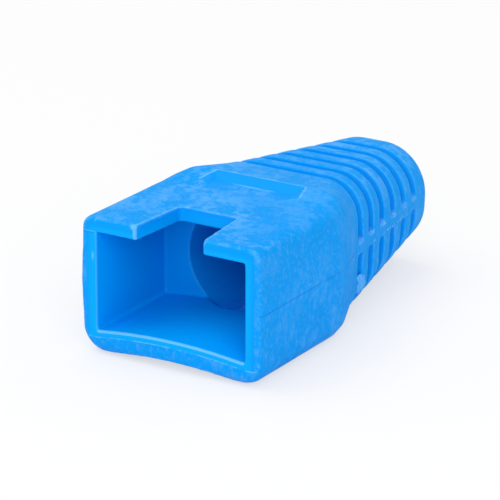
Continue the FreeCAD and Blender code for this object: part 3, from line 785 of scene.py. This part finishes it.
def thin_flash():
    """The pale, ragged skin of flash where the mould leaked."""
    colours = bpy.context.scene.boot_colours
    nodes = Nodes(bpy.data.materials.new("thin_flash"))
    place = nodes.add("ShaderNodeTexCoord").outputs["Object"]
    patches = nodes.noise(place, 2400.0, detail=3.0, roughness=0.6, distortion=0.4)
    grain = nodes.noise(place, 7000.0, detail=2.0, roughness=0.5)
    return nodes.finish(
        nodes.mix(nodes.rise(patches, 0.46, 0.62), colours.bloom, colours.flash),
        nodes.rise(patches, 0.3, 0.7, 0.45, 0.6),
        nodes.add_scaled(patches, 0.7, nodes.product(grain, 0.3)),
    )


# --- body


def is_inside(place):
    """Whether a place is on the cavity's walls, on the rim round them or in the bore."""
    body = bpy.context.scene.boot_body
    back = place.y - MOUTH_Y
    height = place.z - PARTING_Z
    rear = CAVITY_REAR + 0.1 * MM
    if back <= rear:
        floor = floor_level(place.x) - WALL_REACH
        ceiling = body.cavity_height / 2 + CEILING_REACH
        return abs(place.x) < body.cavity_width / 2 + WALL_REACH and floor < height < ceiling
    radius = max(BORE_RADIUS, CONE_RADIUS - (back - rear) * CONE_TAPER)
    return math.hypot(place.x, height) < radius + BORE_REACH


def on_notch(place):
    """Whether a place is on the walls of the latch notch."""
    ceiling = bpy.context.scene.boot_body.cavity_height / 2
    back = place.y - MOUTH_Y
    height = place.z - PARTING_Z
    beside = abs(place.x) < NOTCH_SIDE + 0.8 * MM
    return beside and back < 5.5 * MM and ceiling < height < CREST - 0.52 * MM


def ramp_share(place):
    """1 on the polished ramp of the recess in the crest, which starts in two steps."""
    back = place.y - MOUTH_Y
    across = abs(place.x)
    start = RAMP_FOOT
    start -= 0.8 * MM * step(1.1 * MM, 2.3 * MM, across)
    start -= 0.7 * MM * step(2.2 * MM, 2.6 * MM, across)
    start += 0.6 * max(across - 2.6 * MM, 0.0)
    side = RECESS_SIDE - RECESS_FLARE * back
    share = step(start - 0.1 * MM, start + 0.1 * MM, back)
    share *= 1.0 - step(RECESS_END - 0.05 * MM, RECESS_END + 0.05 * MM, back)
    return share * (1.0 - step(side - 0.1 * MM, side, across))


def polished(place):
    """How far polished steel formed the surface at a place, from 0 to 1."""
    if is_inside(place):
        return 1.0
    back = place.y - MOUTH_Y
    if back <= CAVITY_REAR + 0.1 * MM:
        if on_notch(place):
            return 1.0
        return 1.0 - step(0.03 * MM, 0.1 * MM, back)
    on_top = place.z - PARTING_Z > 3.0 * MM
    if on_top and RECESS_START < back < RECESS_END + 0.2 * MM:
        return ramp_share(place)
    return 0.0


class BOOT_OT_body(bpy.types.Operator):
    """Makes the moulded body, with worn edges and an eroded skin, from the boot's solid"""

    bl_idname = "boot.body"
    bl_label = "Moulded body"

    def execute(self, context):
        settings = context.scene.boot_body
        body = self.copy_solid(context)
        apply_modifier(
            body,
            "REMESH",
            "Grain",
            mode="VOXEL",
            voxel_size=settings.grain / MM,
            use_smooth_shade=True,
        )
        self.square_corners(body)
        self.group(body, "soft", self.soft_share)
        self.group(body, "ribs", self.rib_share)
        self.group(body, "skin", self.skin_share)
        self.smooth(body, "Soft edges", 3, "soft")
        self.smooth(body, "Worn ribs", settings.rib_wear, "ribs")
        depth = settings.skin_depth / MM
        self.hollow(body, "broad_hollows", 1.6, depth * 0.65)
        self.hollow(body, "fine_hollows", 0.45, depth * 0.35)
        ratio = settings.triangles / triangle_count(body.data)
        if ratio < 1.0:
            apply_modifier(
                body, "DECIMATE", "Spare faces", decimate_type="COLLAPSE", ratio=ratio
            )
        body.vertex_groups.clear()
        body.data.transform(Matrix.Scale(MM, 4))
        self.finish_faces(body)
        finish_piece(body, SoftPlastic().make())
        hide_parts(NODE)
        return {"FINISHED"}

    def copy_solid(self, context):
        """A welded copy of the solid's mesh, scaled up so that one unit is a millimetre."""
        mesh = frame["nodes"][NODE].data.copy()
        mesh.name = "moulded_body"
        body = bpy.data.objects.new("moulded_body", mesh)
        context.scene.collection.objects.link(body)
        edit_all(body, bpy.ops.mesh.remove_doubles, threshold=1e-6)
        mesh.transform(Matrix.Scale(1.0 / MM, 4))
        return body

    def square_corners(self, body):
        """Draws the cavity's rounded long corners out, so that they are nearly square."""
        settings = bpy.context.scene.boot_body
        # millimetres: the solid's corner radius, and where the pull starts and fades out
        radius, nearest, farthest = 0.3, 0.15, 0.75
        strength = 0.8
        half = settings.cavity_width / 2 / MM - radius
        top = settings.cavity_height / 2 / MM - radius
        depth = (opening("plug_cavity")[1].y + 0.05 * MM) / MM
        for vertex in body.data.vertices:
            place = vertex.co
            if place.y > depth:
                continue
            height = place.z - PARTING_Z / MM
            level = top if height > 0.0 else -top
            side = half if place.x > 0.0 else -half
            across = place.x - side
            up = height - level
            if across * side < 0.0 or up * level < 0.0:
                continue
            reach = math.hypot(across, up)
            if not nearest < reach < farthest:
                continue
            pull = radius * (reach / max(abs(across), abs(up)) - 1.0)
            pull *= (1.0 - step(radius, farthest, reach)) * strength
            vertex.co = place + Vector((across, 0.0, up)) * (pull / reach)
        body.data.update()

    def group(self, body, name, weigh):
        """Adds a vertex group whose weights come from each point's place."""
        group = body.vertex_groups.new(name=name)
        steps = {}
        for vertex in body.data.vertices:
            weight = round(weigh(vertex.co * MM), 1)
            if weight > 0.0:
                steps.setdefault(weight, []).append(vertex.index)
        for weight, indices in steps.items():
            group.add(indices, weight, "REPLACE")

    def soft_share(self, place):
        """How soft the edges are: the mouth's and the notch's stay crisp."""
        crisp, notch = 0.1, 0.2
        back = place.y - MOUTH_Y
        share = step(0.2 * MM, 0.8 * MM, back)
        on_top = place.z - PARTING_Z > 3.2 * MM
        if on_top and back < 5.9 * MM and abs(place.x) < 3.4 * MM:
            share = min(share, notch)
        return max(share, crisp)

    def rib_share(self, place):
        """How worn the ribs are. The bore inside them isn't."""
        bore_start = 12.0 * MM
        back = place.y - MOUTH_Y
        radius = math.hypot(place.x, place.z - PARTING_Z)
        if radius < BORE_RADIUS + 0.35 * MM and back > bore_start:
            return 0.0
        return step(TAIL_START - 0.1 * MM, TAIL_START + 0.7 * MM, back)

    def skin_share(self, place):
        """Where the eroded skin has hollows. The grooves have none."""
        back = place.y - MOUTH_Y
        if back > TAIL_START and groove_distance(back) < 0.4 * MM:
            return 0.0
        return 1.0 - polished(place)

    def smooth(self, body, name, passes, group):
        apply_modifier(body, "SMOOTH", name, factor=0.5, iterations=passes, vertex_group=group)

    def hollow(self, body, name, size, depth):
        """Sinks shallow hollows of one size, in millimetres, into the eroded skin."""
        hollows = bpy.data.textures.new(name, "CLOUDS")
        hollows.noise_scale = size
        hollows.noise_depth = 2
        apply_modifier(
            body,
            "DISPLACE",
            name,
            texture=hollows,
            texture_coords="LOCAL",
            direction="NORMAL",
            mid_level=0.0,
            strength=-depth,
            vertex_group="skin",
        )

    def bends(self, points, normals, around):
        """How sharply the surface bends outwards at each point, per millimetre."""
        bends = []
        for index, near in enumerate(around):
            turn = 0.0
            for other in near:
                way = points[other] - points[index]
                spread = (normals[other] - normals[index]).dot(way)
                turn += spread / max(way.length_squared, 1e-12)
            bends.append(turn / max(len(near), 1) * MM)
        return bends

    def finish_faces(self, body):
        """Writes how eroded each point of the body is, whether it is outside, how much painted
        sheen it gets and how much painted edge highlight.
        """
        mesh = body.data
        activate(body)
        bpy.ops.object.shade_smooth()
        around = [[] for _ in mesh.vertices]
        for link in mesh.edges:
            a, b = link.vertices
            around[a].append(b)
            around[b].append(a)
        points = [v.co.copy() for v in mesh.vertices]
        normals = [v.normal.copy() for v in mesh.vertices]
        bends = self.bends(points, normals, around)
        eroded = [1.0 - polished(p) for p in points]
        outside = [0.0 if is_inside(p) else 1.0 for p in points]
        # painted sheen: points whose faces lie level, facing up or down, get paler bloom
        level_sheen = [step(0.35, 0.85, abs(n.z)) for n in normals]

        # painted highlight: edges that bend outwards are pale outside, fainter where polished,
        # and hardly at all inside
        edge = []
        for bend, outer, rough in zip(bends, outside, eroded):
            share = 0.12 + 0.88 * outer * (0.4 + 0.6 * rough)
            edge.append(step(1.1, 3.6, bend) * share)
        # on the box they spread to the next points, and on the tail they fade
        for index, near in enumerate(around):
            back = points[index].y - MOUTH_Y
            tail = step(TAIL_START - 1.0 * MM, TAIL_START, back)
            edge[index] *= 1.0 - 0.6 * tail
            if tail == 0.0 and eroded[index] > 0.9 and near:
                spread = max(step(1.4, 4.2, bends[other]) * outside[other] for other in near)
                edge[index] = max(edge[index], 0.75 * spread)

        for name, values in (
            ("eroded", eroded),
            ("edge", edge),
            ("outside", outside),
            ("level_sheen", level_sheen),
        ):
            mesh.attributes.new(name, "FLOAT", "POINT").data.foreach_set("value", values)


# --- flash


class BOOT_OT_flash(bpy.types.Operator):
    """Makes the ragged flash: the ridges on the spines, the crumbs and the torn skin"""

    bl_idname = "boot.flash"
    bl_label = "Flash"

    def execute(self, context):
        material = thin_flash()
        for side, name in ((1.0, "right_seam_ridge"), (-1.0, "left_seam_ridge")):
            finish_piece(self.ridge(name, side), material)
        finish_piece(self.crumbs(), material)
        finish_piece(self.torn_skin(), material)
        return {"FINISHED"}

    def sheet(self, name, columns, rows):
        """A flat grid with the given number of points each way, to be laid on the boot."""
        deselect()
        bpy.ops.mesh.primitive_grid_add(
            x_subdivisions=columns - 1, y_subdivisions=rows - 1, size=1.0
        )
        piece = bpy.context.object
        piece.name = piece.data.name = name
        return piece

    def thicken(self, piece, thickness):
        """Gives a laid sheet its thickness, inwards, and closes it."""
        edit_all(piece, bpy.ops.mesh.normals_make_consistent, inside=False)
        middle = Vector((0.0, 0.0, PARTING_Z))
        face = piece.data.polygons[len(piece.data.polygons) // 2]
        outward = face.center - middle
        outward.y = 0.0
        if face.normal.dot(outward) < 0.0:
            edit_all(piece, bpy.ops.mesh.flip_normals)
        apply_modifier(piece, "SOLIDIFY", "Thickness", thickness=thickness, offset=-1.0)
        activate(piece)
        bpy.ops.object.shade_smooth()

    def ridge(self, name, side):
        """The thin raised line where the mould halves meet on a spine."""
        first, last = 13.0 * MM, 25.4 * MM
        below, sunk = 0.34 * MM, 0.03 * MM
        middle_angle = 0.0 if side > 0 else math.pi
        piece = self.sheet(name, columns=160, rows=7)
        for vertex in piece.data.vertices:
            along = vertex.co.x + 0.5
            across = vertex.co.y * 2.0
            back = first + (last - first) * along
            place = surface(back, middle_angle - side * 0.06)
            ragged = noise.noise(Vector((back * 900.0, side, 0.3)))
            fine = noise.noise(Vector((back * 3100.0, side, 1.7)))
            drift = noise.noise(Vector((back * 500.0, side, 4.1))) * 0.06 * MM
            fade = step(0.0, 0.04, along) * (1.0 - step(0.96, 1.0, along))
            # strong at the shoulder and along the middle of the tail
            tail = step(17.0 * MM, 18.5 * MM, back) * (1.0 - step(21.6 * MM, 22.6 * MM, back))
            shoulder = 1.0 - step(TAIL_START + 0.1 * MM, TAIL_START + 0.7 * MM, back)
            strong = max(tail, shoulder)
            proud = max(0.0, -0.04 + 0.06 * strong + 0.1 * ragged + 0.08 * fine) * fade * MM
            profile = max(0.0, 1.0 - across * across)
            half = (0.09 + 0.05 * fine) * MM
            vertex.co = Vector(
                (
                    place.x + side * (proud * profile - sunk),
                    MOUTH_Y + back,
                    PARTING_Z - below + drift + across * half,
                )
            )
        self.thicken(piece, 0.08 * MM)
        return piece

    def crumb(self, middle, side, size, seed):
        """One rough lump, longest along the boot and thinnest outwards."""
        outward, along, tall = 0.5, 1.5, 0.7
        sunk = 0.05 * MM
        deselect()
        bpy.ops.mesh.primitive_ico_sphere_add(subdivisions=4, radius=size)
        lump = bpy.context.object
        for vertex in lump.data.vertices:
            rough = 0.95 + 0.9 * noise.noise(vertex.co * 8000.0 + seed * 5.0)
            rough += 0.25 * noise.noise(vertex.co * 19000.0 + seed * 9.0)
            co = vertex.co * rough
            co = Vector((co.x * outward - side * sunk, co.y * along, co.z * tall))
            vertex.co = co + middle
        return lump

    def crumbs(self):
        """Small lumps where flash stayed at the grooves' ends."""
        settings = bpy.context.scene.boot_body
        half_pitch = settings.groove_pitch * 0.5
        lumps = []
        for groove in range(GROOVES):
            for side in (1.0, -1.0):
                back = settings.groove_first + groove * settings.groove_pitch
                seed = Vector((groove * 1.7, side * 3.1, 2.3))
                size = (0.2 + 0.12 * noise.noise(seed)) * MM
                angle = math.atan2(settings.spine_height * 0.36, 5.2 * MM)
                angle = angle if side > 0 else math.pi - angle
                before = surface(back - half_pitch, angle)
                behind = surface(back + half_pitch, angle)
                lumps.append(self.crumb((before + behind) / 2, side, size, seed))
        deselect()
        for lump in lumps:
            lump.select_set(True)
        bpy.context.view_layer.objects.active = lumps[0]
        bpy.ops.object.join()
        piece = bpy.context.object
        piece.name = piece.data.name = "groove_crumbs"
        bpy.ops.object.shade_smooth()
        return piece

    def torn_skin(self):
        """A torn skin of flash over the low end of the first groove, on the right."""
        settings = bpy.context.scene.boot_body
        groove = settings.groove_first
        first, last = groove - 0.3 * MM, groove + 0.95 * MM
        # the skin is laid on the straight line between these two stations of the outside
        before, behind = 0.7 * MM, settings.groove_pitch * 0.5
        piece = self.sheet("torn_flash", columns=26, rows=40)
        for vertex in piece.data.vertices:
            along = vertex.co.x + 0.5
            down = vertex.co.y + 0.5
            angle = -math.radians(20.5 + 12.0 * down)
            tear = noise.noise(Vector((down * 2.6, 0.7, 2.2)))
            tear += 0.7 * noise.noise(Vector((down * 7.0, 1.7, 0.2)))
            end = last + 0.3 * MM * tear
            back = first + (end - first) * along
            start = surface(groove - before, angle)
            over = surface(groove + behind, angle)
            place = start.lerp(over, (back - groove + before) / (before + behind))
            outward = Vector((place.x, 0.0, place.z - PARTING_Z)).normalized()
            lump = 0.09 * noise.noise(Vector((along * 3.0, down * 2.6, 3.3)))
            lump += 0.05 * noise.noise(Vector((along * 8.0, down * 7.0, 1.3)))
            rim = min(down, 1.0 - down)
            rim += 0.12 * noise.noise(Vector((along * 5.0, down * 5.0, 7.1)))
            sink = 0.16 * (1.0 - step(0.0, 0.2, rim)) + 0.12 * (1.0 - step(0.0, 0.2, along))
            vertex.co = place + outward * (0.06 + lump - sink) * MM
        self.thicken(piece, 0.1 * MM)
        return piece


# --- stage


class BOOT_OT_stage(bpy.types.Operator):
    """Sets the floor, the lamps, the world and the camera"""

    bl_idname = "boot.stage"
    bl_label = "Stage"

    def execute(self, context):
        self.floor(context)
        self.world(context)
        self.lamps(context)
        self.camera(context)
        context.scene.view_settings.view_transform = "Standard"
        return {"FINISHED"}

    def floor(self, context):
        """A pale floor that shows as white and keeps a soft shadow."""
        deselect()
        bpy.ops.mesh.primitive_plane_add(size=4.0, location=(0.0, 0.0, 0.0))
        floor = bpy.context.object
        floor.name = "floor"
        nodes = Nodes(bpy.data.materials.new("floor"))
        pale = nodes.add("ShaderNodeBsdfDiffuse")
        pale.inputs["Color"].default_value = (0.93, 0.93, 0.93, 1.0)
        white = nodes.add("ShaderNodeEmission")
        path = nodes.add("ShaderNodeLightPath")
        share = nodes.product(path.outputs["Is Camera Ray"], context.scene.boot_stage.whiteness)
        nodes.finish_mix(share, pale, white, "ShaderNodeOutputMaterial")
        floor.data.materials.append(nodes.owner)

    def world(self, context):
        """Even white light from all round, which the camera sees as a plain pale grey."""
        world = bpy.data.worlds.new("studio")
        context.scene.world = world
        nodes = Nodes(world)
        light = nodes.add("ShaderNodeBackground")
        light.inputs["Color"].default_value = (1.0, 1.0, 1.0, 1.0)
        light.inputs["Strength"].default_value = context.scene.boot_stage.ambient
        pale = nodes.add("ShaderNodeBackground")
        pale.inputs["Strength"].default_value = 1.0
        path = nodes.add("ShaderNodeLightPath")
        share = path.outputs["Is Camera Ray"]
        nodes.finish_mix(share, light, pale, "ShaderNodeOutputWorld")

    def lamps(self, context):
        """Three soft square lamps that point at the boot's middle."""
        middle = Vector((0.0, 0.0, 5.0 * MM))
        for name, place, size, power in (
            ("top_lamp", (-0.14, -0.02, 0.42), 0.36, 0.66),
            ("front_lamp", (0.24, -0.30, 0.24), 0.24, 0.62),
            ("low_lamp", (-0.04, -0.44, 0.08), 0.26, 0.12),
        ):
            data = bpy.data.lights.new(name, "AREA")
            data.shape = "SQUARE"
            data.size = size
            data.energy = power
            lamp = bpy.data.objects.new(name, data)
            context.scene.collection.objects.link(lamp)
            lamp.location = place
            way = middle - Vector(place)
            lamp.rotation_euler = way.to_track_quat("-Z", "Y").to_euler()

    def camera(self, context):
        """The camera, aimed beside the mouth's middle so that the boot fills the picture."""
        stage = context.scene.boot_stage
        aim = Vector((0.0, MOUTH_Y, PARTING_Z - 3.62 * MM))
        shift_right, shift_up = 5.501 * MM, 6.677 * MM
        roll = math.radians(0.091)
        a, e = stage.azimuth, stage.elevation
        right = Vector((math.cos(a), math.sin(a), 0.0))
        back = Vector((math.sin(a) * math.cos(e), -math.cos(a) * math.cos(e), math.sin(e)))
        up = right.cross(-back)
        data = bpy.data.cameras.new("camera")
        data.lens = stage.lens
        data.sensor_width = 36.0
        data.clip_start = 0.01
        data.clip_end = 20.0
        camera = bpy.data.objects.new("camera", data)
        context.scene.collection.objects.link(camera)
        place = aim + right * shift_right + up * shift_up + back * stage.distance
        turn = Matrix((right, up, back)).transposed().to_4x4()
        roll = Matrix.Rotation(roll, 4, "Z")
        camera.matrix_world = Matrix.Translation(place) @ turn @ roll
        context.scene.camera = camera


# --- panel


class BOOT_PT_panel(bpy.types.Panel):
    """Lists the boot's settings and the buttons that make its pieces"""

    bl_idname = "BOOT_PT_panel"
    bl_label = "Strain Relief Boot"
    bl_space_type = "VIEW_3D"
    bl_region_type = "UI"
    bl_category = "Boot"

    def draw(self, context):
        scene = context.scene
        for settings in (scene.boot_body, scene.boot_colours, scene.boot_stage):
            box = self.layout.box()
            for name in settings.__annotations__:
                box.prop(settings, name)
        for operator in (BOOT_OT_body, BOOT_OT_flash, BOOT_OT_stage):
            self.layout.operator(operator.bl_idname)


CLASSES = (
    BootBody,
    BootColours,
    BootStage,
    BOOT_OT_body,
    BOOT_OT_flash,
    BOOT_OT_stage,
    BOOT_PT_panel,
)


def register():
    for cls in CLASSES:
        bpy.utils.register_class(cls)
    bpy.types.Scene.boot_body = bpy.props.PointerProperty(type=BootBody)
    bpy.types.Scene.boot_colours = bpy.props.PointerProperty(type=BootColours)
    bpy.types.Scene.boot_stage = bpy.props.PointerProperty(type=BootStage)


def unregister():
    del bpy.types.Scene.boot_stage
    del bpy.types.Scene.boot_colours
    del bpy.types.Scene.boot_body
    for cls in reversed(CLASSES):
        bpy.utils.unregister_class(cls)


def main():
    register()
    bpy.ops.boot.body()
    bpy.ops.boot.flash()
    bpy.ops.boot.stage()


if __name__ == "__main__":
    main()
